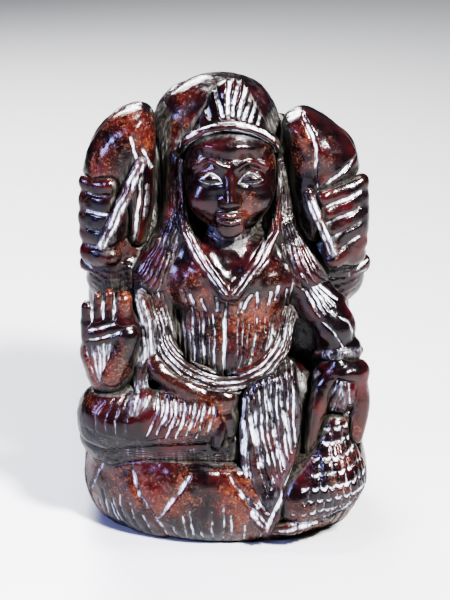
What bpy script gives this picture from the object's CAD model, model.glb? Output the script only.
"""A seated four-armed deity figurine, carved from one block of dark red stone and polished.

Each carved feature of the frame gets a fine closed mesh of its own. A feature is a distance
field in millimetres, built from eggs, limbs, rolls and slabs about the middle of its node's
box. The fields are joined into one stone, tool strokes are cut into it, and each feature's
share of the stone is then meshed.
"""

import math
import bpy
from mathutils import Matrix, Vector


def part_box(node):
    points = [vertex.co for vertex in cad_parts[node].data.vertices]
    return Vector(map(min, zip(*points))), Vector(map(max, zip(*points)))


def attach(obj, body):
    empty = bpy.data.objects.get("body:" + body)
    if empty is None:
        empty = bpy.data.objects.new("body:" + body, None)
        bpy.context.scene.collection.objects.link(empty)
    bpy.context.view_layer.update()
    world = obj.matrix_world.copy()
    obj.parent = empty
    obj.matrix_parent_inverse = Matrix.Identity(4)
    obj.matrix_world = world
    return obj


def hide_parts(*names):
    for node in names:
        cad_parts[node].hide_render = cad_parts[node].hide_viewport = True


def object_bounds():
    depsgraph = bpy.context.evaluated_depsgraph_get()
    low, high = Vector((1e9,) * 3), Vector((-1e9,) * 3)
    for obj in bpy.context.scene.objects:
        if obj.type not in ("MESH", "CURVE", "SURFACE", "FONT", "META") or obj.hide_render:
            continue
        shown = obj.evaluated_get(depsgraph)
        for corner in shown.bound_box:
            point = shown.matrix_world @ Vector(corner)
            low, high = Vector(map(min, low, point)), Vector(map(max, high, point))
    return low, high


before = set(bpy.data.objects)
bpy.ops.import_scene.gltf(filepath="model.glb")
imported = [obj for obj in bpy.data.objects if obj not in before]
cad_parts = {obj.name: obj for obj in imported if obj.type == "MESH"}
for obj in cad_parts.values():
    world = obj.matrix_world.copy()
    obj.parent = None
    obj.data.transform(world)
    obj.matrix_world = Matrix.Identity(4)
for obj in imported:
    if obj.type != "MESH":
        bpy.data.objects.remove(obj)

from concurrent.futures import ThreadPoolExecutor
from dataclasses import dataclass

import bpy
import numpy as np
from mathutils import Vector

MM = 0.001
WORKERS = 4
CAD_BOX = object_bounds()
LOWEST, HIGHEST = (np.array(corner) / MM for corner in CAD_BOX)
HALF_WIDTH, HALF_DEPTH, HEIGHT = HIGHEST

COARSE = 1.0  # how much larger the mesh cells are while trying things
FINE_CELL = 0.25 * COARSE     # mesh cell on the face, hands and cut cloth
PLAIN_CELL = 0.38 * COARSE    # mesh cell on the plain rounded features
SINK = 1.2                    # how fast a feature dives under its neighbour
OVERLAP = 0.6                 # how far a feature runs on under its neighbour


# ---- Distance fields --------------------
#
# Points are arrays of three rows, X, Y and Z in millimetres, and a column for each point.

class Shape:
    """A distance field, negative inside, and the box that holds it."""

    REACH = 3.0               # past this far from its box, only the box is measured

    def __init__(self, field, low, high):
        self.field = field
        self.low, self.high = np.array(low, np.float32), np.array(high, np.float32)

    def distance(self, p):
        off = np.maximum(self.low[:, None] - p, p - self.high[:, None])
        off = np.maximum(off, 0)
        result = np.sqrt(np.einsum("ij,ij->j", off, off))
        near = result < self.REACH
        result[near] = self.field(p[:, near])
        return result


def length(q):
    return np.sqrt(np.einsum("ij,ij->j", q, q))


def column(values):
    return np.array(values, np.float32)[:, None]


def rotation(turn):
    """The matrix that turns by three angles in degrees, about X, then Y, then Z."""
    (cx, sx), (cy, sy), (cz, sz) = ((math.cos(math.radians(a)), math.sin(math.radians(a))) for a in turn)
    about_x = np.array([[1, 0, 0], [0, cx, -sx], [0, sx, cx]])
    about_y = np.array([[cy, 0, sy], [0, 1, 0], [-sy, 0, cy]])
    about_z = np.array([[cz, -sz, 0], [sz, cz, 0], [0, 0, 1]])
    return about_z @ about_y @ about_x


def egg(centre, radii, turn=(0, 0, 0)):
    """An ellipsoid, turned about its own centre."""
    middle, across = column(centre), column(radii)
    matrix = rotation(turn).astype(np.float32)
    reach = np.sqrt(matrix ** 2 @ np.array(radii, np.float32) ** 2)

    def field(p):
        q = matrix.T @ (p - middle) / across
        near, slope = length(q), length(q / across)
        return near * (near - 1) / np.maximum(slope, 1e-6)

    return Shape(field, centre - reach, centre + reach)


def bar_gap(p, start, end, start_radius, end_radius):
    """The distance to one tapered bar with round ends."""
    along = end - start
    q = p - start[:, None]
    t = np.clip(along @ q / max(along @ along, 1e-9), 0, 1)
    return length(q - along[:, None] * t) - (start_radius + (end_radius - start_radius) * t)


def limb(start, end, start_radius, end_radius):
    """A round bar that tapers from one ball to another."""
    a, b = np.array(start, np.float32), np.array(end, np.float32)
    reach = max(start_radius, end_radius)
    return Shape(lambda p: bar_gap(p, a, b, start_radius, end_radius),
                 np.minimum(a, b) - reach, np.maximum(a, b) + reach)


def smooth_path(points, steps=4):
    """A Catmull-Rom curve through the points."""
    points = np.array(points, float)
    padded = np.vstack([2 * points[0] - points[1], points, 2 * points[-1] - points[-2]])
    out = []
    for before, here, there, after in zip(padded, padded[1:], padded[2:], padded[3:]):
        for t in np.arange(steps) / steps:
            out.append(0.5 * (2 * here + (there - before) * t
                              + (2 * before - 5 * here + 4 * there - after) * t ** 2
                              + (3 * here - before - 3 * there + after) * t ** 3))
    return np.vstack([out, points[-1]]).astype(np.float32)


def roll(points, radius, end_radius=None, flat=1.0):
    """A cord or fold of cloth along a smooth path; flat below 1 thins it from front to back."""
    path = smooth_path(points)
    squeeze = np.array([1, 1 / flat, 1], np.float32)
    radii = np.linspace(radius, end_radius or radius, len(path)).astype(np.float32)
    reach = radii.max()

    def field(p):
        q = p * squeeze[:, None]
        ends = zip(path * squeeze, path[1:] * squeeze, radii, radii[1:])
        return flat * np.min([bar_gap(q, a, b, r0, r1) for a, b, r0, r1 in ends], axis=0)

    return Shape(field, path.min(0) - reach, path.max(0) + reach)


def outline_distance(points, u, v):
    """Signed distance in a plane to a closed outline."""
    points = np.array(points, np.float32)
    best = np.full(len(u), 1e9, np.float32)
    inside = np.zeros(len(u), bool)
    for (au, av), (bu, bv) in zip(points, np.roll(points, -1, axis=0)):
        eu, ev = bu - au, bv - av
        t = np.clip(((u - au) * eu + (v - av) * ev) / (eu * eu + ev * ev), 0, 1)
        best = np.minimum(best, np.hypot(u - au - t * eu, v - av - t * ev))
        if av != bv:
            crosses = (av > v) != (bv > v)
            inside ^= crosses & (u < au + (v - av) / ev * eu)
    return np.where(inside, -best, best)


def slab(outline, front, back, edge, rake=0.0):
    """A front-view outline in X and Z, from front to back along Y, with rounded edges.

    rake is how far the slab leans back for each millimetre above its lowest point.
    """
    outline = np.array(outline, float)
    foot = outline[:, 1].min()

    def field(p):
        flat = outline_distance(outline, p[0], p[2]) + edge
        y = p[1] - rake * (p[2] - foot)
        deep = np.abs(y - (front + back) / 2) - (back - front) / 2 + edge
        outer = np.hypot(np.maximum(flat, 0), np.maximum(deep, 0))
        return outer + np.minimum(np.maximum(flat, deep), 0) - edge

    low, high = outline.min(0), outline.max(0)
    lean = rake * (high[1] - low[1])
    return Shape(field, (low[0], front + min(lean, 0), low[1]), (high[0], back + max(lean, 0), high[1]))


def smooth_min(a, b, soft):
    blend = np.clip(0.5 + 0.5 * (b - a) / soft, 0, 1)
    return b + (a - b) * blend - soft * blend * (1 - blend)


def join(*shapes, soft=1.0):
    """Several shapes melted into one."""
    def field(p):
        total = shapes[0].distance(p)
        for shape in shapes[1:]:
            total = smooth_min(total, shape.distance(p), soft)
        return total

    return Shape(field, np.min([s.low for s in shapes], axis=0) - soft / 4,
                 np.max([s.high for s in shapes], axis=0) + soft / 4)


def hollow(shape, *cutters, soft=0.6):
    """A shape with others scooped out of it."""
    def field(p):
        total = shape.distance(p)
        for cutter in cutters:
            total = -smooth_min(-total, cutter.distance(p), soft)
        return total

    return Shape(field, shape.low, shape.high)


def lumps(p, size, seed):
    """Smooth random bumps between -1 and 1, about size millimetres across."""
    cells = 64
    table = np.random.default_rng(seed).uniform(-1, 1, (cells, cells, cells)).astype(np.float32)
    q = p / size + cells / 2
    base = np.floor(q).astype(int)
    part = q - base
    part = part * part * (3 - 2 * part)
    x, y, z = base % cells
    x1, y1, z1 = (base + 1) % cells
    (fx, fy, fz) = part


    def row(y, z):
        return table[x, y, z] * (1 - fx) + table[x1, y, z] * fx

    near = row(y, z) * (1 - fy) + row(y1, z) * fy
    far = row(y, z1) * (1 - fy) + row(y1, z1) * fy
    return near * (1 - fz) + far * fz


def smooth_loop(points, steps=3):
    """A closed smooth outline through the points."""
    wrapped = [points[-1], *points, points[0], points[1]]
    path = smooth_path(wrapped, steps)
    return path[steps:-2 * steps]


# ---- Tool strokes --------------------

def front(p):
    """The front view: X and Z."""
    return p[0], p[2]


def unsteady(u, v, place):
    """Flat coordinates with the small waver of a hand-held tool, which runs on over the stone."""
    across, up = u + place[0], v + place[2]
    return (u + 0.10 * np.sin(0.9 * up + 0.7 * across) + 0.03 * np.sin(2.6 * up - 1.1 * across),
            v + 0.08 * np.sin(1.1 * across + 0.5 * up) + 0.03 * np.sin(2.9 * across + 1.3 * up))


class Strokes:
    """Grooves cut along lines drawn on a flat view of a feature.

    Each line is a list of flat points. width is half the groove's width and depth how deep it
    goes. frost is how white its ground floor is. The strokes are drawn once on a fine flat
    grid, which points then read. place is the middle of the feature's node, set by carve().
    """

    STEP = 0.07               # spacing of the flat grid
    ENDS = 0.45               # a curved stroke thins to this share of its width

    def __init__(self, lines, width, depth, frost=1.0, view=front):
        self.view, self.depth, self.frost, self.place = view, depth, frost, None
        paths = [smooth_path(line) if len(line) > 2 else np.array(line, float) for line in lines]
        self.low = np.min([path.min(0) for path in paths], axis=0) - width - 2 * self.STEP
        high = np.max([path.max(0) for path in paths], axis=0) + width + 2 * self.STEP
        self.size = np.ceil((high - self.low) / self.STEP).astype(int) + 2
        self.grid = np.zeros(self.size, np.float32)
        for path in paths:
            t = np.linspace(0, 1, len(path))
            full = np.clip(4 * np.minimum(t, 1 - t) + (len(path) == 2), 0, 1)
            widths = width * (self.ENDS + (1 - self.ENDS) * full)
            for a, b, wa, wb in zip(path, path[1:], widths, widths[1:]):
                self.draw(a, b, wa, wb)

    def draw(self, a, b, wa, wb):
        reach = max(wa, wb)
        first = np.floor((np.minimum(a, b) - reach - self.low) / self.STEP).astype(int)
        last = np.ceil((np.maximum(a, b) + reach - self.low) / self.STEP).astype(int) + 1
        u = (self.low[0] + self.STEP * np.arange(first[0], last[0]))[:, None]
        v = (self.low[1] + self.STEP * np.arange(first[1], last[1]))[None, :]
        along = b - a
        t = np.clip(((u - a[0]) * along[0] + (v - a[1]) * along[1]) / max(along @ along, 1e-9), 0, 1)
        gap = np.hypot(u - a[0] - t * along[0], v - a[1] - t * along[1])
        window = self.grid[first[0]:last[0], first[1]:last[1]]
        np.maximum(window, 1 - gap / (wa + (wb - wa) * t), out=window)

    def cover(self, p):
        """0 at a groove's edge and beyond, 1 on its centre line."""
        u, v = unsteady(*self.view(p - column(self.place)), self.place)
        fu, fv = (u - self.low[0]) / self.STEP, (v - self.low[1]) / self.STEP
        on = (fu > 0) & (fv > 0) & (fu < self.size[0] - 2) & (fv < self.size[1] - 2)
        fu, fv = fu[on], fv[on]
        iu, iv = fu.astype(int), fv.astype(int)
        du, dv = fu - iu, fv - iv
        g = self.grid
        result = np.zeros(len(u), np.float32)
        result[on] = ((g[iu, iv] * (1 - du) + g[iu + 1, iv] * du) * (1 - dv)
                      + (g[iu, iv + 1] * (1 - du) + g[iu + 1, iv + 1] * du) * dv)
        return result

    def cut(self, p):
        cover = self.cover(p)
        return self.depth * cover * (2 - cover)

    def mask(self, p):
        return self.frost * np.clip((self.cover(p) - 0.15) * 1.7, 0, 1)


# ---- Meshing --------------------

CORNERS = np.array([[i & 1, i >> 1 & 1, i >> 2 & 1] for i in range(8)])
EDGES = [(a, b) for a in range(8) for b in range(a + 1, 8) if bin(a ^ b).count("1") == 1]


def surface_net(field):
    """Vertices, in grid units, and quads of the zero surface of a field."""
    inside = field < 0
    size = np.array(field.shape)
    corner_count = np.zeros(size - 1, np.int8)
    for dx, dy, dz in CORNERS:
        corner_count += inside[dx:size[0] - 1 + dx, dy:size[1] - 1 + dy, dz:size[2] - 1 + dz]
    cells = np.argwhere((corner_count > 0) & (corner_count < 8))
    values = np.stack([field[tuple((cells + c).T)] for c in CORNERS])
    total, count = np.zeros((len(cells), 3)), np.zeros(len(cells))
    for a, b in EDGES:
        crossed = (values[a] < 0) != (values[b] < 0)
        t = values[a][crossed] / (values[a][crossed] - values[b][crossed])
        total[crossed] += CORNERS[a] + t[:, None] * (CORNERS[b] - CORNERS[a])
        count += crossed
    vertices = cells + total / count[:, None]
    index = np.full(size - 1, -1, np.int32)
    index[tuple(cells.T)] = np.arange(len(cells))
    quads = []
    for axis in range(3):
        u, v = (axis + 1) % 3, (axis + 2) % 3
        here = np.take(inside, range(size[axis] - 1), axis)
        there = np.take(inside, range(1, size[axis]), axis)
        edges = np.argwhere(here != there)
        step_u, step_v = np.eye(3, dtype=int)[u], np.eye(3, dtype=int)[v]
        ring = [index[tuple((edges - c).T)] for c in (0 * step_u, step_u, step_u + step_v, step_v)]
        quad = np.stack(ring, axis=1)
        outward = here[tuple(edges.T)]
        quad[~outward] = quad[~outward][:, ::-1]
        quads.append(quad)
    return vertices, np.vstack(quads)


def settle(vertices, field, steps=3):
    """Moves vertices, in grid units, onto the zero surface by the field's own slope."""
    top = np.array(field.shape) - 2
    start = vertices.copy()
    for _ in range(steps):
        base = np.clip(np.floor(vertices).astype(int), 0, top)
        part = vertices - base
        corner_values = [field[tuple((base + c).T)] for c in CORNERS]
        value, slope = np.zeros(len(vertices)), np.zeros((len(vertices), 3))
        for c, corner in zip(CORNERS, corner_values):
            sides = np.where(c, part, 1 - part)
            value += corner * sides.prod(1)
            for axis in range(3):
                other = sides[:, (axis + 1) % 3] * sides[:, (axis + 2) % 3]
                slope[:, axis] += (1 if c[axis] else -1) * corner * other
        step = slope * (value / np.maximum((slope ** 2).sum(1), 0.05))[:, None]
        vertices = start + np.clip(vertices - 0.8 * step - start, -0.6, 0.6)
    return vertices


# ---- The stone --------------------

@dataclass
class Feature:
    """One carved feature of the stone."""

    shape: Shape
    soft: float               # how softly it joins what is behind it
    crease: float             # how deep the groove round it is
    frost: float              # how white that groove is
    cell: float
    strokes: list
    ground: float             # how white the whole feature is
    warm: float               # how red its clouds are


STONE = {}                    # node name to Feature, back of the stone first


def middle(node):
    """The middle of a node's box in the frame, in whole millimetres."""
    low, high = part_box(node)
    return np.round(np.array((low + high) / 2) / MM).astype(np.float32)


def carve(node, shape, soft=0.6, crease=0.0, frost=0.0, cell=FINE_CELL, strokes=(), ground=0.0,
          warm=0.0, place=None):
    """Adds a feature whose numbers are measured from place, or else from its node's middle."""
    place = middle(node) if place is None else np.array(place, np.float32)
    for cut in strokes:
        cut.place = place
    field = shape.field
    moved = Shape(lambda p: field(p - column(place)), shape.low + place, shape.high + place)
    STONE[node] = Feature(moved, soft, crease, frost, cell, strokes, ground, warm)


CREASE_WIDTH = 0.42           # how far a crease reaches on each side
LUMP_SIZE, LUMP_HEIGHT = 3.4, 0.26  # the unevenness a hand-guided wheel leaves
FLECK_SIZE, FLECK_HEIGHT = 1.2, 0.07  # and its finer grain
LOOK_OUT = 3.0                # how far from the surface its openness is judged
LOOK_IN = 3.6                 # how deep into the stone its thickness is judged


def whole_stone(p, names):
    """The joined stone near some features: distance, each feature's own one, and the creases."""
    total, frosted, own = None, np.zeros(p.shape[1], np.float32), {}
    for name in names:
        feature = STONE[name]
        own[name] = feature.shape.distance(p)
        if total is None:
            total = own[name]
            continue
        seam = np.exp(-((own[name] - total) / CREASE_WIDTH) ** 2)
        total = smooth_min(total, own[name], feature.soft) + feature.crease * seam
        frosted = np.maximum(frosted * np.clip(own[name] / CREASE_WIDTH, 0, 1), feature.frost * seam)
    return total, own, frosted


def share(name, p, names):
    """The distance to one feature's share of the stone."""
    total, own, _ = whole_stone(p, names)
    total = total + LUMP_HEIGHT * lumps(p, LUMP_SIZE, 1) + FLECK_HEIGHT * lumps(p, FLECK_SIZE, 2)
    for strokes in STONE[name].strokes:
        total = total + strokes.cut(p)
    total = np.maximum(total, LOWEST[2] - p[2])
    others = [own[other] for other in names if other != name]
    if not others:
        return total
    beyond = own[name] - np.min(others, axis=0)
    return np.maximum(total + SINK * np.maximum(beyond, 0), beyond - OVERLAP)


def neighbours(low, high):
    """The features that reach into a box."""
    return [n for n, f in STONE.items() if np.all(f.shape.low < high) and np.all(f.shape.high > low)]


def outward(vertices, quads):
    """Unit vertex normals."""
    a, b, c, d = (vertices[quads[:, i]] for i in range(4))
    facing = np.cross(c - a, d - b)
    normal = np.zeros_like(vertices)
    for i in range(3):
        for corner in range(4):
            normal[:, i] += np.bincount(quads[:, corner], facing[:, i], len(vertices))
    return normal / np.maximum(np.linalg.norm(normal, axis=1), 1e-9)[:, None]


BLOCK = 4                     # the field is sampled in blocks of this many cells first
BLOCK_REACH = 1.7             # and finely where it is below this many blocks


def sampled(name, low, high, names, cell):
    """One feature's share on a grid, in cells, and the grid's first corner."""
    blocks = np.ceil((high - low) / (cell * BLOCK)).astype(int) + 1
    origin = low - cell
    centres = [origin[i] + cell * (BLOCK * np.arange(blocks[i]) + (BLOCK - 1) / 2) for i in range(3)]
    rough_points = np.stack(np.meshgrid(*centres, indexing="ij")).reshape(3, -1).astype(np.float32)
    rough = share(name, rough_points, names).reshape(blocks)
    ones = np.ones((BLOCK,) * 3, np.float32)
    near = np.kron(np.abs(rough) < BLOCK_REACH * BLOCK * cell, ones.astype(bool))
    field = np.kron(np.sign(rough).astype(np.float32), ones)
    where = np.argwhere(near).T
    field[near] = share(name, (origin[:, None] + cell * where).astype(np.float32), names) / cell
    rim = np.ones(field.shape, bool)
    rim[1:-1, 1:-1, 1:-1] = False
    field[rim] = np.maximum(field[rim], 0.5)
    return field, origin


def mesh_share(name):
    """Meshes one feature's share. Returns vertices and quads in mm, and vertex attributes."""
    feature = STONE[name]
    cell = feature.cell
    low, high = feature.shape.low - cell, feature.shape.high + cell
    names = neighbours(low - 1, high + 1)
    field, origin = sampled(name, low, high, names, cell)
    vertices, quads = surface_net(field)
    vertices = origin + cell * settle(vertices, field)
    p = vertices.T.astype(np.float32)
    _, _, frosted = whole_stone(p, names)
    ground = np.maximum(feature.ground, frosted)
    for strokes in feature.strokes:
        ground = np.maximum(ground, strokes.mask(p))
    near = neighbours(low - LOOK_OUT, high + LOOK_OUT)
    normal = outward(vertices, quads).T.astype(np.float32)
    recess = 1 - whole_stone(p + LOOK_OUT * normal, near)[0] / LOOK_OUT
    thin = 1 + whole_stone(p - LOOK_IN * normal, near)[0] / LOOK_IN
    warm = np.full(len(ground), feature.warm, np.float32)
    marks = {"ground": ground, "warm": warm, "recess": np.clip(recess, 0, 1), "thin": np.clip(thin, 0, 1)}
    return vertices, quads, marks


def build_piece(name, vertices, quads, marks):
    """Makes a feature's mesh object, which stands for the frame's node of that name."""
    mesh = bpy.data.meshes.new(name + "_stone")
    mesh.vertices.add(len(vertices))
    mesh.vertices.foreach_set("co", (vertices * MM).astype(np.float32).ravel())
    mesh.loops.add(quads.size)
    mesh.loops.foreach_set("vertex_index", quads.astype(np.int32).ravel())
    mesh.polygons.add(len(quads))
    mesh.polygons.foreach_set("loop_start", np.arange(0, quads.size, 4, dtype=np.int32))
    mesh.polygons.foreach_set("use_smooth", np.ones(len(quads), bool))
    mesh.update(calc_edges=True)
    for mark, values in marks.items():
        attribute = mesh.attributes.new(mark, "FLOAT", "POINT")
        attribute.data.foreach_set("value", values.astype(np.float32))
    piece = bpy.data.objects.new(name + "_stone", mesh)
    bpy.context.scene.collection.objects.link(piece)
    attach(piece, "root")
    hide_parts(name)
    return piece


# ---- The features, back of the stone first --------------------
#
# Each feature's numbers are millimetres from the middle of its own node's box, and lines cut
# into it are drawn in the front view, as X and Z.

SIDES = (("right", -1), ("left", 1))    # the figure's own right is on -X

BASE_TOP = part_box("lotus_base")[1].z / MM
BASE_BELLY = 9.0              # height at which the base is widest
BASE_TUCK = 3.5               # how far the lower rim draws in
BASE_CORNER = 11.0            # radius of the base's two back corners
BASE_SHOULDER = 1.6           # how far the upper rim draws in
BASE_EDGE = 1.6               # how soft its top and bottom edges are
PETALS = 8
PETAL_PITCH = 2 * math.pi * HALF_WIDTH / PETALS
FIRST_PETAL = -14.0           # where the first petal's tip is, round the front


def around(p):
    """The base unrolled: how far round from the middle of the front, and Z."""
    return HALF_WIDTH * np.arctan2(p[0] / HALF_WIDTH, -p[1] / HALF_DEPTH), p[2]


def base_distance(p):
    """The base stands on the floor: half an oval in front, a rounded square behind."""
    x, y, z = p
    near = np.hypot(x / HALF_WIDTH, y / HALF_DEPTH)
    slope = np.hypot(x / HALF_WIDTH ** 2, y / HALF_DEPTH ** 2)
    oval = near * (near - 1) / np.maximum(slope, 1e-3)
    out_x = np.abs(x) - HALF_WIDTH + BASE_CORNER
    out_y = y - HALF_DEPTH + BASE_CORNER
    inner = np.minimum(np.maximum(out_x, out_y), 0)
    square = np.hypot(np.maximum(out_x, 0), np.maximum(out_y, 0)) + inner - BASE_CORNER
    plan = np.where(y < 0, oval, square)
    tuck = BASE_TUCK * np.clip((BASE_BELLY - z) / BASE_BELLY, 0, 1) ** 2
    shoulder = BASE_SHOULDER * np.clip((z - BASE_BELLY) / (BASE_TOP - BASE_BELLY), 0, 1) ** 2
    wall = plan + tuck + shoulder
    ends = np.maximum(-z, z - BASE_TOP)
    return -smooth_min(-wall, -ends, BASE_EDGE)


# The upright strokes of one petal: how far round from its tip, and how high each reaches.
UPRIGHTS = ((3.2, 4), (5.2, 6.4), (7.4, 8.6), (9.4, 6), (11.2, 8), (13.4, 9.4), (15.6, 7.6), (18.4, 5.4))


def petal_strokes():
    """V-shaped petal tips all round the base, with short upright strokes between them."""
    tips, uprights = [], []
    for k in range(-4, PETALS + 1):
        tip = FIRST_PETAL + k * PETAL_PITCH
        tips.append([(tip - 6.8, 15.0), (tip - 4.6, 11.4), (tip - 0.2, 5.4), (tip + 0.3, 0.6)])
        tips.append([(tip + 7.0, 15.0), (tip + 4.2, 11.0), (tip + 0.2, 5.4)])
        for i, (gap, top) in enumerate(UPRIGHTS):
            wobble = 0.5 * math.sin(3.1 * k + 1.7 * i)
            uprights.append([(tip + gap + wobble, top + wobble), (tip + gap + 0.8 * wobble, 1.4)])
    return tips, uprights


def carve_base():
    tips, uprights = petal_strokes()
    block = Shape(base_distance, (-HALF_WIDTH, -HALF_DEPTH, 0), (HALF_WIDTH, HALF_DEPTH, BASE_TOP))
    carve("lotus_base", block, cell=0.84 * PLAIN_CELL, warm=1.0, place=(0, 0, 0),
          strokes=[Strokes(tips, 0.8, 0.6, frost=0.8, view=around),
                   Strokes(uprights, 0.42, 0.34, frost=0.75, view=around)])


BACK_SIDE = -1                # this far behind the slab's middle its back begins
FAR_AWAY = 1e3                # out of reach of every stroke


def back_view(p):
    """The front view for points on the back, and far away for the rest."""
    return p[0] + np.where(p[1] > BACK_SIDE, 0, FAR_AWAY), p[2]


def carve_back():
    outline = smooth_loop([(-16, -33.8), (-22.6, -30.4), (-25, -23), (-25.8, -11), (-25.4, 1), (-24.2, 15),
                           (-20.5, 25), (-12, 31.2), (12, 31.2), (21, 25), (25, 15), (25, 1), (25.4, -11),
                           (26.2, -23), (24, -30.4), (18, -33.8)])
    folds = [[(c + 1, 27 - abs(c) * 0.5), (1.1 * c + 1, 1), (1.17 * c + 1, -25)] for c in range(-18, 19, 3)]
    carve("back_slab", slab(outline, -8.8, 8.6, 6.5), soft=3.0, cell=PLAIN_CELL,
          strokes=[Strokes(folds, 0.5, 0.3, frost=0.3, view=back_view)])


def carve_hood():
    outline = smooth_loop([(-12, -12), (-13.8, 0), (-13.4, 10), (-10.6, 16.4), (-5.4, 20), (0.4, 21),
                           (6.4, 19.6), (10.2, 15.6), (12.4, 9), (13.6, 0), (12, -12), (6, -20), (-5, -20)])
    scratches = [[(c, 13 - 0.3 * abs(c)), (c * 0.98, -8 + 0.2 * abs(c - 1))]
                 for c in (-12.6, -11.9, -11.2, -10.5, -9.9, 11.2, 11.9, 12.7, 13.4)]
    carve("hood", slab(outline, -7.6, 8, 6.4, rake=0.02), soft=1.5, crease=0.9, cell=PLAIN_CELL,
          warm=0.6, ground=0.17, strokes=[Strokes(scratches, 0.3, 0.14, frost=0.35)])


def carve_rear_arms():
    for side, x in SIDES:
        wraps = [[(0.2 * x, 1 - 1.3 * i), (4 * x, -0.4 - 1.3 * i), (8.4 * x, 0.6 - 1.2 * i)]
                 for i in range(6)]
        upper = limb((-4 * x, 2, 3), (3.4 * x, -2, -4), 6.0, 5.6)
        lower = limb((3.4 * x, -2, -4), (4.8 * x, -3.5, 3), 5.6, 5.0)
        carve(f"rear_arm_{side}", join(upper, lower, soft=2), soft=3.0, cell=PLAIN_CELL,
              strokes=[Strokes(wraps, 0.3, 0.2, frost=0.14)])


def carve_front_arm_right():
    sleeve = [[(-0.8 + 0.8 * i, 9 - 0.5 * i), (1 + 0.75 * i, 1), (3.2 + 0.4 * i, -5.5)] for i in range(6)]
    upper = limb((3.2, 2, 9), (1.4, -1, -2), 3.8, 3.9)
    lower = limb((1.4, -1, -2), (-5, -3, -8), 3.9, 4.0)
    carve("front_arm_right", join(upper, lower, soft=2), soft=2.6,
          strokes=[Strokes(sleeve, 0.3, 0.3, frost=0.55)])


def carve_front_arm_left():
    drape = [[(-6.4 + 0.75 * i, 9 - 0.1 * i), (-3.6 + 0.75 * i, 4.6 + 0.25 * i),
              (-1.1 + 0.8 * i, 0.4 + 0.7 * i)] for i in range(5)]
    elbow = [[(-0.8, -0.4), (1.4, -2.2), (3.2, -5.4)], [(2, 0.8), (4.2, -1), (5.4, -4.4)]]
    arm = join(limb((-5.4, 1.6, 7.6), (-0.4, -1, 0.6), 4.0, 4.1), egg((1.6, -1.2, -2.6), (4.1, 4.6, 4.8)),
               egg((2.8, -1.6, -7.4), (4.3, 4.8, 3.2)), soft=1.2)
    carve("front_arm_left", arm, soft=2.2, warm=0.5,
          strokes=[Strokes(drape, 0.42, 0.4, frost=0.95), Strokes(elbow, 0.35, 0.25, frost=0.6)])


def carve_torso():
    chest = join(egg((0, 0.4, 7), (12.6, 7.2, 8.6)), egg((0.2, 0.4, -5), (11.0, 8.6, 11.5)),
                 egg((0, 1.4, 12.5), (9.5, 6.2, 5)), soft=3)
    breasts = join(egg((-6, -2.6, 7.2), (5.0, 3.8, 4.2)), egg((6, -2.6, 7.6), (5.0, 3.8, 4.2)), soft=2)
    faint = [[(-11.6 + 0.95 * i, 2.4 + 0.6 * math.sin(2.1 * i)), (-11 + 0.9 * i, -4),
              (-10.4 + 0.85 * i, -9 + math.sin(i))] for i in range(9)]
    faint += [[(1.4 + 1.05 * i, 1.6 + 0.7 * math.sin(2.7 * i)), (1.3 + 0.9 * i, -4.4),
               (0.6 + 0.75 * i, -10.2 + 0.3 * i)] for i in range(8)]
    bold = [[(-7.2, 3.4), (-6.8, -3), (-6.6, -9.2)], [(-5.2, 3), (-5, -3), (-4.7, -9.4)],
            [(-3.2, 2.6), (-3, -3), (-2.9, -9.4)], [(5, 1.4), (4.2, -5), (2.4, -10.6)],
            [(8.4, 2), (7.2, -4.4), (4.6, -10)], [(10.6, 7), (9.8, -1), (7.6, -7.4)],
            [(11.6, 9), (11.3, 1), (10.4, -6)]]
    middle_line = [[(-0.8, 4.8), (-1.1, -3), (-1.1, -9.8)]]
    shorts = [[(-8.8, 6.8), (-8.2, 4.6)], [(-7.4, 6.2), (-6.6, 4)], [(-5.4, 5.4), (-4.6, 3.2)],
              [(-2.8, 5.6), (-2.3, 3.2)], [(1.4, 3), (2.2, 5)], [(2.3, 3.2), (3.8, 6.2)],
              [(4.9, 6.8), (5.1, 3.6)], [(7, 4), (7.6, 6.8)], [(8.4, 5), (9, 7.6)]]
    carve("torso", join(chest, breasts, soft=3.2), soft=1.6, warm=0.8,
          strokes=[Strokes(faint, 0.26, 0.3, frost=0.45), Strokes(bold, 0.34, 0.4, frost=0.85),
                   Strokes(middle_line, 0.55, 0.7), Strokes(shorts, 0.45, 0.4)])


def carve_neck():
    carve("neck", limb((0, 0, -3), (0, 0.4, 7), 5.4, 4.8), soft=1.0, cell=PLAIN_CELL, ground=0.25)


def carve_veil():
    for side, x in SIDES:
        shoulder = (5.4 * x, 0.5 - 0.1 * x, 0.2 * x - 9.6)
        border = [(-0.2 * x, 1.4, 12), (0, 0, 5.5), (-0.8 * x, -1.8, -0.5),
                  (-3.6 * x, -4.2, -5.2), (-8.3 * x, -6.6, -11.2)]
        fall = limb((0.6 * x, 4.2, 12), (0.9 * x, 2.4, -1), 2.0, 3.0)
        spread = limb((0.9 * x, 2.4, -1), shoulder, 3.0, 3.9)
        cloth = join(join(fall, spread, soft=1.5), roll(border, 0.95, 0.9), soft=0.8)
        edges = [[(px + off, pz) for px, _, pz in border[2:]] for off in (-0.55, 0.55)]
        upper = [[(px + off, pz) for px, _, pz in border[:3]] for off in (-0.45, 0.5)]
        sweeps = [[((0.2 + 0.55 * k) * x, 10 - 0.8 * k), ((0.5 + 0.6 * k) * x, 0),
                   (shoulder[0] + (1.1 * k - 2.6) * x, -10.5 + 0.6 * k),
                   (shoulder[0] + (1.5 * k - 1.8) * x, -13.6 + 0.9 * k)] for k in range(5)]
        carve(f"veil_{side}", cloth, soft=2.6, crease=0.15, frost=0.1,
              strokes=[Strokes(edges, 0.36, 0.35, frost=0.85), Strokes(upper, 0.28, 0.3, frost=0.36),
                       Strokes(sweeps, 0.28, 0.25, frost=0.42)])


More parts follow.
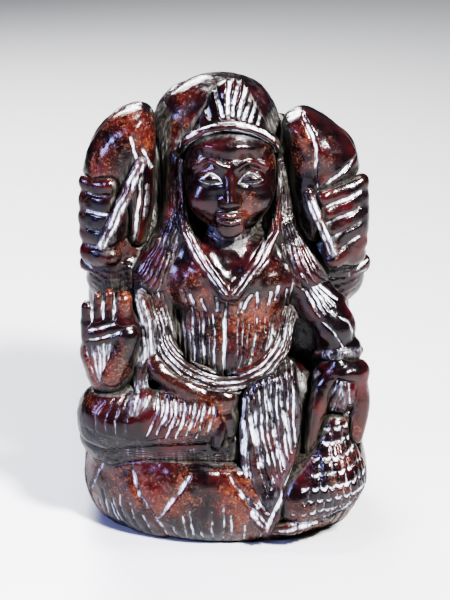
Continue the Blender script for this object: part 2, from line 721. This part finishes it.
def carve_hanging_leg():
    carve("hanging_leg", limb((0, 2, 8), (-0.5, -2.6, -7), 6.2, 6.4), soft=1.5, cell=PLAIN_CELL)


def carve_shin():
    sweeps = [[(-13, 3.4 - 0.55 * i), (-4, 2 - 0.55 * i), (6, 1.6 - 0.55 * i), (13, 2.8 - 0.55 * i)]
              for i in range(9)]
    carve("folded_shin", limb((12.5, -2.4, 1.6), (-10, 0.2, 2), 4.4, 5.8), soft=2.5, crease=0.2, warm=0.2,
          strokes=[Strokes(sweeps, 0.3, 0.2, frost=0.3)])


def carve_thigh():
    pleats = [[(0.4 + 1.75 * i, 3.2 - 0.25 * i), (0.1 + 1.75 * i, -0.2),
               (-1.9 + 1.9 * i, -4.4 + 0.5 * math.sin(2 * i))] for i in range(7)]
    between = [[(1.4 + 1.75 * i, 2.4 - 0.2 * i), (1.1 + 1.75 * i, 0), (0.2 + 1.75 * i, -2.1)]
               for i in range(6)]
    knee = [[(-4 - 1.9 * i, 3 - 0.3 * i), (-5.6 - 1.9 * i, -0.4), (-5.4 - 2.0 * i, -4.6)] for i in range(4)]
    brushed = [[(-13.4 + 0.6 * i, -3.4 - 0.55 * i), (-5, -5.4 - 0.5 * i), (4, -4.6 - 0.45 * i),
                (11.5, -2.4 - 0.6 * i)] for i in range(8)]
    thigh = limb((11, -1.8, -2), (-8.2, 0.4, -2.8), 5.6, 7.1)
    lap = roll([(-1.6, -0.6, 9.5), (2, -2.8, 6.2), (8, -4.4, 3.6), (14, -4.8, 2.6)], 1.9, 1.1)
    carve("folded_thigh", join(thigh, lap, soft=2.6), soft=2.0, crease=0.25, warm=0.5,
          strokes=[Strokes(pleats, 0.46, 0.55, frost=0.95), Strokes(between, 0.3, 0.3, frost=0.7),
                   Strokes(knee, 0.34, 0.2, frost=0.4), Strokes(brushed, 0.28, 0.18, frost=0.28)])


def carve_foot():
    carve("foot", egg((0, -0.4, 0.4), (2.1, 3.2, 4.9), (0, 10, 0)), soft=0.8, crease=0.5)


def carve_skirt():
    outline = smooth_loop([(-6.3, 8), (-4.4, 12.4), (-0.2, 14.5), (3.6, 15), (5.3, 9), (4.9, 0),
                           (3, -7.6), (0.8, -14.6), (-1.4, -16.6), (-3.8, -14.6), (-5.9, -10), (-6.2, -2)])
    fine = [[(-4.8 + 1.05 * i, 11.5 + 0.62 * i), (-3.7 + 0.95 * i, 2 + 0.4 * i),
             (-1 + 0.66 * i, -8.4 + 1.15 * i)] for i in range(9)]
    edge = [[(-5.5, 10), (-5.4, 0), (-5.2, -7), (-4.6, -11), (-1.6, -15)]]
    bold = [[(-4.6, 0), (-4.2, -7), (-2.8, -11)], [(-4.2, 8), (-2.8, 0), (-0.2, -7.2)],
            [(-1.7, 13.6), (0.8, 2), (2.2, -3.2)], [(0.6, 15), (2.6, 5), (3.6, 0)]]
    hem = [[(3.9, -2.6), (1.4, -9.4), (-0.9, -14.5), (-1.2, -18.4)], [(-5.2, -10.6), (-3, -12), (-1, -14.4)],
           [(-3.8, -7), (-2.4, -10), (-0.6, -12)]]
    carve("skirt_pleats", slab(outline, -7.3, 3, 1.6, rake=0.14), soft=1.2, crease=0.4, frost=0.2,
          ground=0.22, strokes=[Strokes(fine, 0.34, 0.42, frost=0.9), Strokes(bold, 0.5, 0.6),
                                Strokes(edge, 1.0, 0.4), Strokes(hem, 0.6, 0.5)])


def carve_sash():
    path = [(-13.2, 2.4, 5.4), (-11, 0.2, 0.6), (-6.4, -1.8, -3), (0.4, -2.8, -4.8),
            (7, -2, -2.8), (11, 0.6, 1.4), (12.6, 4.6, 7.5)]
    folds = [[(px * (1 + 0.05 * k), pz - 1.0 * k) for px, _, pz in path] for k in (-1.5, -0.5, 0.5, 1.5)]
    carve("waist_sash", roll(path, 2.3, 1.7, flat=0.5), soft=2.0, crease=0.15, frost=0.2,
          strokes=[Strokes(folds, 0.36, 0.4, frost=0.85)])


HEAP_X, HEAP_Y = 1.6, 0.2     # the upright axis of the coin heap
HEAP_WAIST, HEAP_TOP = -1.2, 8.6  # the heights at which it is widest and narrowest
HEAP_RADIUS, HEAP_TIP = 7.4, 3.0  # its radius at those heights
COIN_ROWS = 8
COIN_WIDTH = 1.6


def around_heap(p):
    """The front view, wrapped round the outer side of the coin heap."""
    radius = np.interp(p[2], (HEAP_WAIST, HEAP_TOP), (HEAP_RADIUS, HEAP_TIP))
    turn = np.arctan2(np.maximum(p[0] - HEAP_X, 0), HEAP_Y - p[1])
    return np.minimum(p[0], HEAP_X) + radius * turn, p[2]


def carve_coins():
    waist = (HEAP_X, HEAP_Y, HEAP_WAIST)
    heap = join(limb((2.8, HEAP_Y, HEAP_TOP), waist, HEAP_TIP, HEAP_RADIUS),
                limb(waist, (-3.2, -1, -4.4), HEAP_RADIUS, 7.0), soft=1.5)
    edge = [(-8.4, -5.6, -10), (-5, -5.9, -9.7), (-0.5, -4.6, -8.6), (3.8, -2, -6.8), (7, 1.4, -4.2)]
    rows, falls = [], []
    for k in range(COIN_ROWS):
        z, left, right = 8.8 - 2.45 * k, 0.9 - 1.05 * k, 6.1 + 2.0 * min(k, 5)
        for i in range(int((right - left) / COIN_WIDTH)):
            start = left + COIN_WIDTH * (i + 0.5 * (k % 2)) + 0.3 * math.sin(3 * k + i)
            up = z + 0.12 * (min(start, 7) + 3)
            rows.append([(start, up), (start + 0.55, up - 0.3), (start + 1.15, up + 0.2)])
            falls.append([(start + 1.35, up - 0.5), (start + 1.5 + 0.08 * (start - 1), up - 2.1)])
    rim = [[(px, pz) for px, _, pz in edge]]
    carve("coin_heap", join(heap, roll(edge, 1.3), soft=0.6), soft=0.8, crease=0.4, warm=0.3,
          strokes=[Strokes(rows, 0.45, 0.4, view=around_heap),
                   Strokes(falls, 0.28, 0.3, frost=0.4, view=around_heap), Strokes(rim, 0.75, 0.35)])


def carve_giving_palm():
    creases = [[(0.4, 4), (-1.2, -1), (-3.2, -7)], [(1.4, 4), (0.6, -1), (-0.6, -6)],
               [(2.2, 3.4), (2.4, -1), (2.4, -6)], [(1, 3), (-0.2, -2), (-1.6, -7)]]
    carve("giving_palm", egg((0.6, 0.6, 0.6), (5.2, 5.0, 6.2)), soft=0.8, crease=0.3, warm=0.3, ground=0.26,
          strokes=[Strokes(creases, 0.3, 0.3, frost=0.6)])


def carve_giving_fingers():
    bent = roll([(-2, 0.6, 6.6), (0.9, 0.2, 3.6), (1.5, -0.2, -1.5), (0.8, -0.8, -7.2)], 2.7, 1.6)
    knuckles = egg((-1.8, 1, 5.8), (4.9, 4.4, 2.6))
    carve("giving_fingers", join(bent, knuckles, soft=1.5), soft=0.7, crease=0.35, warm=0.3)


def carve_giving_thumb():
    thumb = roll([(2.6, 0.8, 8.6), (-0.2, -0.2, 5), (-2, -1.2, -1), (-3.4, -1.8, -10.5)], 2.6, 1.2)
    carve("giving_thumb", thumb, soft=0.7, crease=0.4)


def carve_armlet():
    ring = roll([(-4.2, 1.4, -1.6), (-1.8, -0.9, -0.8), (1.2, -1.2, -0.6), (3.4, 2, -1.2)], 0.9)
    carve("armlet", ring, soft=0.9, crease=0.3, frost=0.4)


def carve_blessing_palm():
    palm = smooth_loop([(-5, 7), (0, 9), (5.8, 7.4), (6.3, 2.6), (5.2, -3.4), (2.9, -7.2),
                        (-0.1, -8.2), (-3.6, -6), (-5.2, 0)])
    bands = [[(-4.6, 5.6), (-1, 6.4), (3.8, 7.8)], [(-4.6, 3.6), (0, 4.8), (4, 6.2)]]
    creases = [[(-4.2 + 1.25 * i, 2.4 + 0.3 * i), (-2 + 0.45 * i, -4.6 + 0.6 * i)] for i in range(6)]
    wedge = [[(-2.4, 1.6), (0.4, 2.4)], [(-1.6, 0), (-0.8, -3.4)]]
    carve("blessing_palm", slab(palm, -4, 4, 3.6), soft=0.8, crease=0.4, warm=0.4,
          strokes=[Strokes(bands, 0.36, 0.35, frost=0.9), Strokes(creases, 0.36, 0.25, frost=0.6),
                   Strokes(wedge, 2.2, 0.3, frost=0.36)])


def carve_blessing_fingers():
    sizes = ((-3.6, 1.8, 1.4), (-1.7, 3.6, 1.4), (0.4, 4, 1.45), (2.9, 3.2, 1.85))
    fingers = [limb((c, -0.8, -4), (c + 0.2, -0.6, tip), r, r) for c, tip, r in sizes]
    gaps = [[(c, 5.6), (c, 2.5), (c - 0.1, -0.6)] for c in (-2.7, -0.6, 1.5)]
    web = slab(smooth_loop([(-4.4, -3), (-3, 2.6), (1, 3.8), (4.6, 1.6), (5.4, -3)]), -2.2, 3, 2)
    carve("blessing_fingers", join(*fingers, web, soft=0.5), soft=0.8, warm=0.5,
          strokes=[Strokes(gaps, 0.5, 0.45)])


def carve_blessing_thumb():
    thumb = limb((2, -0.4, 4.4), (-1, -0.2, -3.4), 2.3, 2.5)
    carve("blessing_thumb", thumb, soft=1.6, crease=0.2, warm=0.6)


def carve_arm_scarf():
    leaf = smooth_loop([(-2.2, 9.8), (-0.3, 11.2), (1.8, 5), (2, 0), (0.6, -6), (-1.8, -8.6),
                        (-2.6, -5.5), (-1.2, 0), (-1, 4.4)])
    end = smooth_loop([(-4.4, -12.4), (-3.2, -8.4), (0.4, -6.6), (1.4, -8.6), (-0.4, -11.6), (-2.4, -13)])
    folds = [[(-1.4, 10.4), (-0.2, 5), (0, 0), (-1.2, -6.4)],
             [(-0.2, 10.2), (1.1, 4), (1.1, -1), (-0.3, -7)],
             [(0.8, -7.4), (-1, -12.4)], [(-1.2, -7.4), (-2.6, -12)]]
    scarf = join(slab(leaf, -1.2, 5, 1.6, rake=0.06), slab(end, -4.6, 2, 1.6), soft=1.4)
    carve("arm_scarf", scarf, soft=1.0, crease=0.35, frost=0.3, ground=0.36,
          strokes=[Strokes(folds, 0.34, 0.3, frost=0.8)])


def carve_rear_hand(side, bud, bud_folds, bud_warm, fingers, stem):
    """A fist with its bangles, and the lotus whose stem it holds, back to front."""
    x = dict(SIDES)[side]
    carve(f"lotus_bud_{side}", slab(smooth_loop(bud), -7.4, 7, 5.2), soft=1.5, crease=0.4, warm=bud_warm,
          strokes=[Strokes(bud_folds, 0.5, 0.4, frost=0.8)])
    back_of_hand = egg((-0.1 * x, 0.4, 1), (4.9, 5.6, 8.4))
    wrist = egg((0.4 * x, 0.4, -6.6), (4.3, 4.8, 3.4))
    grip = join(*[limb(a, b, 1.8, 1.8) for a, b in fingers], back_of_hand, wrist, soft=1.3)
    gaps = [[(a[0], (a[2] + c[2]) / 2), (b[0], (b[2] + d[2]) / 2)]
            for (a, b), (c, d) in zip(fingers, fingers[1:])]
    carve(f"rear_fist_{side}", grip, soft=0.8, crease=0.4, frost=0.2, warm=0.2,
          strokes=[Strokes(gaps, 0.5, 0.35, frost=0.9)])
    rings = [[(-0.4 * x, -0.1 - 1.9 * k), (1.8 * x, 0.2 - 1.9 * k), (3.8 * x, 1.4 - 1.9 * k)]
             for k in range(2)]
    carve(f"bangles_{side}", limb((-0.6 * x, 0, -0.4), (2.4 * x, 1.4, 0.4), 2.6, 2.2), soft=0.8, crease=0.3,
          frost=0.2, strokes=[Strokes(rings, 0.6, 0.3)])
    grooves = [[(px + off, pz) for px, _, pz in stem] for off in (-0.5, 0.5)]
    carve(f"lotus_stem_{side}", roll(stem, 1.1), soft=0.5, crease=0.4, frost=0.4, ground=0.3,
          strokes=[Strokes(grooves, 0.4, 0.3)])


def carve_right_rear_hand():
    bud = [(-7.2, -2), (-6.5, 3.5), (-4.2, 7.5), (-1.4, 10.2), (1.8, 11.8), (4.6, 11.6),
           (6, 9), (6.1, 1), (5.6, -7), (4, -14), (0.5, -13), (-1, -5)]
    bud_folds = [[(2, 7.4), (2.8, 2.8)], [(4, 5.2), (5.3, 1)],
                 [(3.6, -0.2), (2.8, -7), (2, -13.2)], [(4.6, -2), (4, -8)]]
    fingers = [((-3.4, -1, 7.2 - 3.4 * i), (0.6, -3.6, 7.2 - 3.4 * i)) for i in range(5)]
    stem = [(3.6, 0.4, 7.8), (0.4, -1.4, 1), (-3.6, -1.2, -7.4)]
    carve_rear_hand("right", bud, bud_folds, 0.5, fingers, stem)


def carve_left_rear_hand():
    bud = [(-8.2, 8), (-6.6, 10.4), (-4.2, 11.2), (-1.8, 10.4), (1.2, 8.3), (3.9, 5.8), (5.5, 3),
           (5.8, -1), (2, -5), (-1, -13), (-4.6, -13), (-7, -3)]
    bud_folds = [[(-4.6, 10.6), (-2.7, 6.5), (-2.1, -2)], [(5.2, 3), (1.8, 0.4), (-2, -3)]]
    fingers = [((0.5 * i - 3.6, -4.2, 5 - 3 * i), (2.9, -1.6, 7.2 - 2.8 * i)) for i in range(5)]
    stem = [(-2.6, 0.4, 5), (-0.5, -1.2, -0.4), (2, -1, -6)]
    carve_rear_hand("left", bud, bud_folds, 0.3, fingers, stem)


FACE_SIDE = 0.5               # in front of this lies the face
EAR_LINE = 10                 # behind this the head is inside the hood


def face_view(p):
    """The front view for points on the face, and far away for the rest."""
    return p[0] + np.where(p[1] < FACE_SIDE, 0, FAR_AWAY), p[2]


def carve_head():
    skull = join(egg((0, 1, 1), (8.9, 8.5, 9.6)), egg((0, -0.2, -3.8), (7.9, 7.4, 6.9)), soft=3)
    face = [egg((0, -6.4, -8.8), (2.6, 1.6, 1.9)), limb((0, -7, 1.6), (0, -8.7, -3.3), 0.8, 1.2),
            egg((0, -7.2, -6.6), (2.9, 1.4, 1.5))]
    sockets, lids = [], []
    for _, x in SIDES:
        face += [egg((1.2 * x, -8, -3.7), (0.8, 0.9, 0.7)), egg((4.6 * x, -4.8, -3.6), (3.1, 2.4, 2.8))]
        face.append(roll([(1.2 * x, -7.3, 2.9), (3.6 * x, -7.2, 4), (6.6 * x, -4.9, 2.4)], 0.5))
        sockets.append(egg((3.7 * x, -8.6, 0.7), (2.5, 1.9, 1.7)))
        lids.append(egg((3.7 * x, -5.7, 0.4), (2.3, 1.8, 1.35)))
    upper_lip = roll([(-2.3, -7.9, -6.25), (-0.9, -8.7, -5.8), (0, -8.8, -5.95), (0.9, -8.7, -5.8),
                      (2.3, -7.9, -6.25)], 0.42)
    lower_lip = roll([(-1.7, -8, -7), (0, -8.6, -7.25), (1.7, -8, -7)], 0.5)
    shape = hollow(join(skull, *face, soft=1.1), *sockets, soft=0.8)
    shape = join(shape, *lids, upper_lip, lower_lip, soft=0.35)
    shape.high[1] = EAR_LINE
    lines = []
    for _, x in SIDES:
        lines += [[(1.4 * x, 0), (2.4 * x, 1.3), (3.8 * x, 1.7), (6.0 * x, 0.2)],
                  [(1.5 * x, 0), (3.7 * x, -0.2), (6.0 * x, 0.2)],
                  [(1.2 * x, 3.6), (3.6 * x, 4.7), (6.4 * x, 3.1)]]
    mouth = [[(-2.5, -6.3), (-1, -6.55), (0, -6.5), (1, -6.55), (2.5, -6.3)]]
    carve("head", shape, soft=0.4, crease=0.5, frost=0.2, cell=0.85 * FINE_CELL, warm=0.2,
          strokes=[Strokes(lines, 0.3, 0.2, frost=0.6, view=face_view),
                   Strokes(mouth, 0.28, 0.25, frost=0.3, view=face_view)])


CROWN_TIP = 3.7               # radius of the crown's round tip, which tops the frame


def carve_crown():
    flutes = [[(-7.2, 1.8), (-6, -0.2)], [(-5.6, 5), (-3.7, 1.8)], [(-3.2, 7.6), (-1.5, 2.2)],
              [(-0.1, 8.4), (-0.5, 2.6)], [(1.4, 8.2), (0.4, 2.2)], [(2.9, 7.2), (1.4, 1.9)],
              [(4.2, 5.6), (2.4, 1.6)], [(5.2, 4), (3.6, 1.2)], [(6.3, 2.4), (4.9, 0.2)]]
    tip = HEIGHT - CROWN_TIP - middle("crown")[2]
    carve("crown", limb((0.1, 0.6, -4), (0.2, 2.2, tip), 8.6, CROWN_TIP), soft=0.8, crease=0.4,
          strokes=[Strokes(flutes, 0.55, 0.6)])


def carve_crown_band():
    path = [(-9, 2.6, -2.8), (-8, 0, -0.6), (-4.6, -2.3, 2), (-0.1, -3.1, 3), (4.2, -2.3, 2),
            (7.6, 0, -0.6), (8.6, 2.6, -2.8)]
    grooves = [[(px * 0.97, pz - 0.6) for px, _, pz in path], [(px * 1.04, pz + 0.7) for px, _, pz in path]]
    carve("crown_band", roll(path, 1.05), soft=0.4, crease=0.3, frost=0.3,
          strokes=[Strokes(grooves, 0.42, 0.35)])


for carver in (carve_base, carve_back, carve_hood, carve_rear_arms, carve_front_arm_right,
               carve_front_arm_left, carve_torso, carve_neck, carve_veil, carve_hanging_leg, carve_shin,
               carve_thigh, carve_foot, carve_sash, carve_skirt, carve_coins, carve_giving_palm,
               carve_giving_fingers, carve_giving_thumb, carve_armlet, carve_blessing_palm,
               carve_blessing_fingers, carve_blessing_thumb, carve_arm_scarf, carve_right_rear_hand,
               carve_left_rear_hand, carve_head, carve_crown, carve_crown_band):
    carver()


# ---- Materials --------------------

class Graph:
    """Short calls for wiring a node material."""

    def __init__(self, name):
        self.material = bpy.data.materials.new(name)
        self.material.use_nodes = True
        self.nodes, self.links = self.material.node_tree.nodes, self.material.node_tree.links
        self.shader = self.nodes["Principled BSDF"]

    def node(self, kind, settings=None, **inputs):
        made = self.nodes.new("ShaderNode" + kind)
        for key, value in (settings or {}).items():
            setattr(made, key, value)
        for key, value in inputs.items():
            self.feed(made.inputs[key.replace("_", " ")], value)
        return made

    def feed(self, socket, value):
        if isinstance(value, bpy.types.NodeSocket):
            self.links.new(value, socket)
        else:
            socket.default_value = value

    def mark(self, name):
        return self.node("Attribute", {"attribute_name": name}).outputs["Fac"]

    def noise(self, place, scale, detail=4.0, roughness=0.6):
        made = self.node("TexNoise", Vector=place, Scale=scale, Detail=detail, Roughness=roughness)
        return made.outputs["Fac"]

    def ramp(self, value, low, high, to_low=0.0, to_high=1.0):
        made = self.node("MapRange", {"interpolation_type": "SMOOTHSTEP"}, Value=value)
        for key, number in (("From Min", low), ("From Max", high), ("To Min", to_low), ("To Max", to_high)):
            made.inputs[key].default_value = number
        return made.outputs["Result"]

    def math(self, operation, a, b):
        made = self.node("Math", {"operation": operation})
        self.feed(made.inputs[0], a)
        self.feed(made.inputs[1], b)
        return made.outputs[0]

    def mix(self, share, a, b):
        made = self.node("Mix", {"data_type": "RGBA"})
        for socket, value in (("Factor", share), ("A", a), ("B", b)):
            found = [s for s in made.inputs if s.name == socket and s.enabled][0]
            self.feed(found, value)
        return [s for s in made.outputs if s.enabled][0]


DARK = (0.0038, 0.0018, 0.0026, 1)
WINE = (0.032, 0.0044, 0.0052, 1)
EMBER = (0.105, 0.026, 0.011, 1)
RUST = (0.135, 0.062, 0.036, 1)
SOOT = (0.0030, 0.0030, 0.0030, 1)
DULL = (0.040, 0.034, 0.025, 1)
CHALK = (0.43, 0.44, 0.49, 1)
ASH = (0.055, 0.050, 0.060, 1)


def stone_material():
    """Garnet: near black with wine and ember clouds, dull in the recesses, white where ground."""
    g = Graph("garnet")
    place = g.node("TexCoord").outputs["Object"]
    ground, recess, thin, warm = (g.mark(name) for name in ("ground", "recess", "thin", "warm"))
    clouds = g.noise(place, 120, 3)
    grain = g.noise(place, 1700, 3, 0.7)
    speckle = g.noise(place, 800, 5, 0.75)
    patchy = g.noise(place, 330, 3)
    streak_place = g.node("Mapping", Vector=place, Scale=(1.0, 1.0, 0.12)).outputs[0]
    streaks = g.noise(streak_place, 1900, 3, 0.7)
    colour = g.mix(g.ramp(clouds, 0.42, 0.70), DARK, WINE)
    patches = g.math("ADD", g.noise(place, 75, 3), g.math("MULTIPLY", g.math("SUBTRACT", warm, 0.55), 0.20))
    glow = g.math("MULTIPLY", g.ramp(patches, 0.52, 0.68), g.ramp(speckle, 0.36, 0.66))
    colour = g.mix(g.math("MULTIPLY", glow, 0.75), colour, EMBER)
    colour = g.mix(g.math("MULTIPLY", g.ramp(thin, 0.3, 0.9), 0.10), colour, EMBER)
    flecks = g.math("MULTIPLY", g.ramp(patches, 0.48, 0.62), g.ramp(grain, 0.52, 0.66))
    colour = g.mix(g.math("MULTIPLY", flecks, 0.5), colour, RUST)
    dull = g.math("MULTIPLY", g.ramp(recess, 0.30, 0.75), g.ramp(patchy, 0.25, 0.55, 0.5, 1.0))
    brushed = g.mix(g.ramp(streaks, 0.42, 0.62), SOOT, DULL)
    colour = g.mix(dull, colour, brushed)
    worn = g.math("MULTIPLY", ground, g.ramp(patchy, 0.34, 0.62, 0.25, 1.2))
    broken = g.math("MULTIPLY", g.ramp(worn, 0.08, 0.70), g.ramp(streaks, 0.28, 0.50, 0.4, 1.0))
    scuffed = g.math("MULTIPLY", streaks, g.ramp(worn, 0.2, 0.9, 0.72, 1.12))
    chalk = g.mix(g.ramp(scuffed, 0.36, 0.56), ASH, CHALK)
    colour = g.mix(broken, colour, chalk)
    g.feed(g.shader.inputs["Base Color"], colour)
    matt = g.math("MAXIMUM", g.math("MULTIPLY", dull, 0.40), g.math("MULTIPLY", broken, 0.28))
    matt = g.math("MAXIMUM", matt, g.math("MULTIPLY", flecks, 0.22))
    rough = g.math("ADD", g.ramp(speckle, 0.3, 0.7, 0.12, 0.26), matt)
    g.feed(g.shader.inputs["Roughness"], rough)
    height = g.math("ADD", g.math("MULTIPLY", streaks, g.math("MAXIMUM", broken, dull)),
                    g.math("ADD", g.math("MULTIPLY", speckle, 0.4), patchy))
    bump = g.node("Bump", Strength=0.6, Distance=0.00025, Height=height)
    g.feed(g.shader.inputs["Normal"], bump.outputs[0])
    g.shader.inputs["IOR"].default_value = 1.45
    return g.material


# ---- Scene --------------------

def build_all():
    material = stone_material()
    with ThreadPoolExecutor(WORKERS) as pool:
        meshed = list(pool.map(mesh_share, STONE))
    for name, parts in zip(STONE, meshed):
        piece = build_piece(name, *parts)
        piece.data.materials.append(material)


def make_floor():
    mesh = bpy.data.meshes.new("floor")
    mesh.from_pydata([(-2, -2, 0), (2, -2, 0), (2, 2, 0), (-2, 2, 0)], [], [(0, 1, 2, 3)])
    floor = bpy.data.objects.new("floor", mesh)
    material = bpy.data.materials.new("floor")
    material.use_nodes = True
    material.node_tree.nodes["Principled BSDF"].inputs["Base Color"].default_value = (0.42, 0.42, 0.42, 1)
    mesh.materials.append(material)
    bpy.context.scene.collection.objects.link(floor)


AIM = Vector((0, 0, 0.5047 * HEIGHT * MM))  # what the camera and the lamps point at
CAMERA_DISTANCE = 3.9733 * float(HEIGHT) * MM
CAMERA_TILT = math.radians(19.783)  # how steeply the camera looks down


def add_light(name, place, size, power, color=(1, 1, 1)):
    light = bpy.data.lights.new(name, "AREA")
    light.color = color
    light.size = size
    light.energy = power
    lamp = bpy.data.objects.new(name, light)
    lamp.location = place
    lamp.rotation_euler = (AIM - Vector(place)).to_track_quat("-Z", "Y").to_euler()
    bpy.context.scene.collection.objects.link(lamp)


def make_lights():
    add_light("key", (0.17, -0.26, 0.36), 0.06, 11)
    add_light("sky", (-0.34, -0.20, 0.20), 0.12, 2.3, color=(0.42, 0.46, 1.0))
    add_light("top", (-0.04, 0.02, 0.5), 0.10, 1.6)
    add_light("rim", (-0.12, 0.35, 0.3), 0.2, 3)
    bpy.context.scene.view_settings.look = "AgX - High Contrast"
    world = bpy.data.worlds.new("studio")
    world.use_nodes = True
    world.node_tree.nodes["Background"].inputs["Color"].default_value = (0.75, 0.8, 0.9, 1)
    world.node_tree.nodes["Background"].inputs["Strength"].default_value = 0.10
    bpy.context.scene.world = world


def make_camera():
    data = bpy.data.cameras.new("camera")
    data.lens = 109.2
    camera = bpy.data.objects.new("camera", data)
    back = Vector((0, -math.cos(CAMERA_TILT), math.sin(CAMERA_TILT)))
    camera.location = AIM + back * CAMERA_DISTANCE
    camera.rotation_euler = (-back).to_track_quat("-Z", "Y").to_euler()
    data.clip_start = 0.01
    bpy.context.scene.collection.objects.link(camera)
    bpy.context.scene.camera = camera


build_all()
make_floor()
make_lights()
make_camera()
